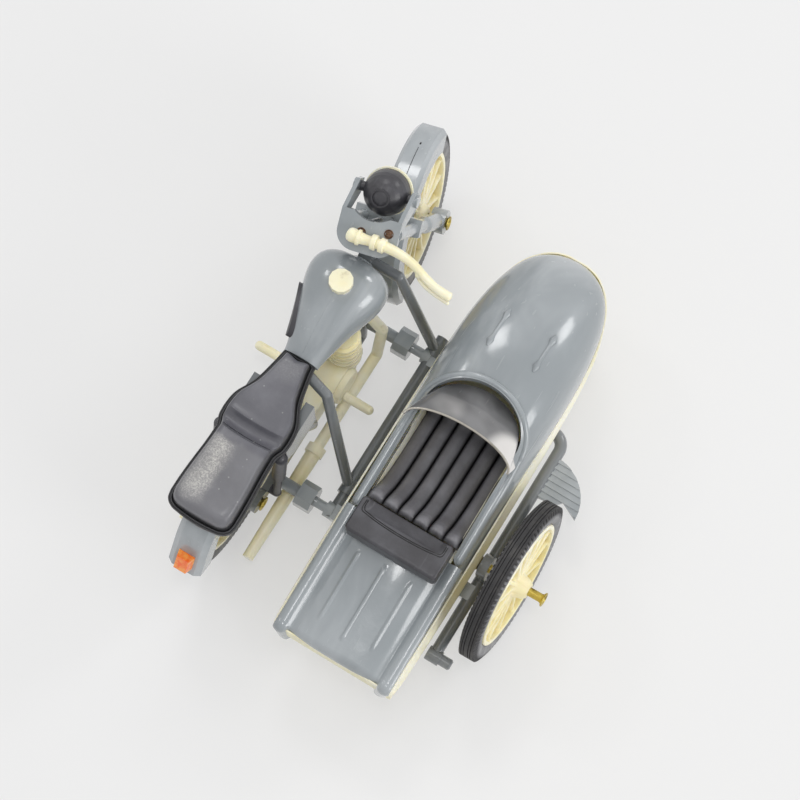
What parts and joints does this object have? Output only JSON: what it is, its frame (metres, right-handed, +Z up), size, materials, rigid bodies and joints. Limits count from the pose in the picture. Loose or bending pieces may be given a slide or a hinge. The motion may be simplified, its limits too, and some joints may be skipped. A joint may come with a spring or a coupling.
{
  "type": "toy motorcycle with sidecar",
  "caption": "Plastic toy motorcycle with a boat-shaped sidecar on its right, with a steerable fork, rolling wheels on brass pins, a ribbed cockpit seat and a smoky windscreen",
  "frame": {"origin": "middle of the footprint's bounding box, at floor level", "axes": "+X to the rider's right, +Y forwards, +Z up"},
  "size_m": [0.0944, 0.1284, 0.0666],
  "materials": {
    "grey_plastic": "glossy moulded plastic",
    "cream_plastic": "satin moulded plastic, yellowed in places",
    "black_plastic": "satin black moulded plastic",
    "tyre": "dull rubber",
    "brass": "worn bright",
    "smoke_clear": "clear smoky plastic",
    "orange_clear": "translucent orange plastic",
    "lens_clear": "clear plastic"
  },
  "bodies": {
    "motorcycle_and_sidecar": {"frame": "grey_plastic", "tank": "grey_plastic", "tank_cap": "cream_plastic", "knee_pad": "black_plastic", "seat": "black_plastic", "rear_mudguard": "grey_plastic", "tail_lamp": "orange_clear", "engine": "cream_plastic", "cylinder_left": "cream_plastic", "cylinder_right": "cream_plastic", "exhaust_left": "cream_plastic", "exhaust_right": "cream_plastic", "footpeg_left": "cream_plastic", "footpeg_right": "cream_plastic", "shock_left": "black_plastic", "shock_right": "black_plastic", "toolbox_right": "grey_plastic", "toolbox_left": "grey_plastic", "rear_pin": "brass", "chassis_tube_left": "grey_plastic", "chassis_tube_right": "grey_plastic", "chassis_bar_front": "grey_plastic", "chassis_bar_rear": "grey_plastic", "cross_tube_front": "grey_plastic", "cross_tube_rear": "grey_plastic", "strut_front": "grey_plastic", "strut_rear": "grey_plastic", "step_plate": "grey_plastic", "side_pin": "brass", "cushion": "black_plastic", "head_rest": "black_plastic", "windscreen": "smoke_clear", "nose_handle_left": "grey_plastic", "nose_handle_right": "grey_plastic", "hull_tub": "cream_plastic", "hull_cover": "grey_plastic", "rear_deck": "grey_plastic"},
    "steering": {"fork": "grey_plastic", "crown": "grey_plastic", "front_mudguard": "grey_plastic", "headlamp_shell": "black_plastic", "headlamp_rim": "cream_plastic", "headlamp_glass": "lens_clear", "handlebar": "cream_plastic", "front_pin": "brass"},
    "front_wheel": {"front_tyre": "tyre", "front_rim": "cream_plastic"},
    "rear_wheel": {"rear_tyre": "tyre", "rear_rim": "cream_plastic"},
    "side_wheel": {"side_tyre": "tyre", "side_rim": "cream_plastic"}
  },
  "joints": [
    {"name": "steering", "type": "hinge", "parent": "motorcycle_and_sidecar", "child": "steering", "pos_m": [-0.03017, 0.02297, 0.06015], "axis": [0, -0.454, 0.891], "range_deg": [-48.5, 21.5]},
    {"name": "front_wheel_spin", "type": "hinge", "parent": "steering", "child": "front_wheel", "pos_m": [-0.03022, 0.04297, 0.02135], "axis": [0.9724, 0.208, 0.106], "continuous": true},
    {"name": "rear_wheel_spin", "type": "hinge", "parent": "motorcycle_and_sidecar", "child": "rear_wheel", "pos_m": [-0.03017, -0.03903, 0.02135], "axis": [1, 0, 0], "continuous": true},
    {"name": "side_wheel_spin", "type": "hinge", "parent": "motorcycle_and_sidecar", "child": "side_wheel", "pos_m": [0.03783, -0.02423, 0.02149], "axis": [0.9962, 0, 0.0872], "continuous": true}
  ]
}
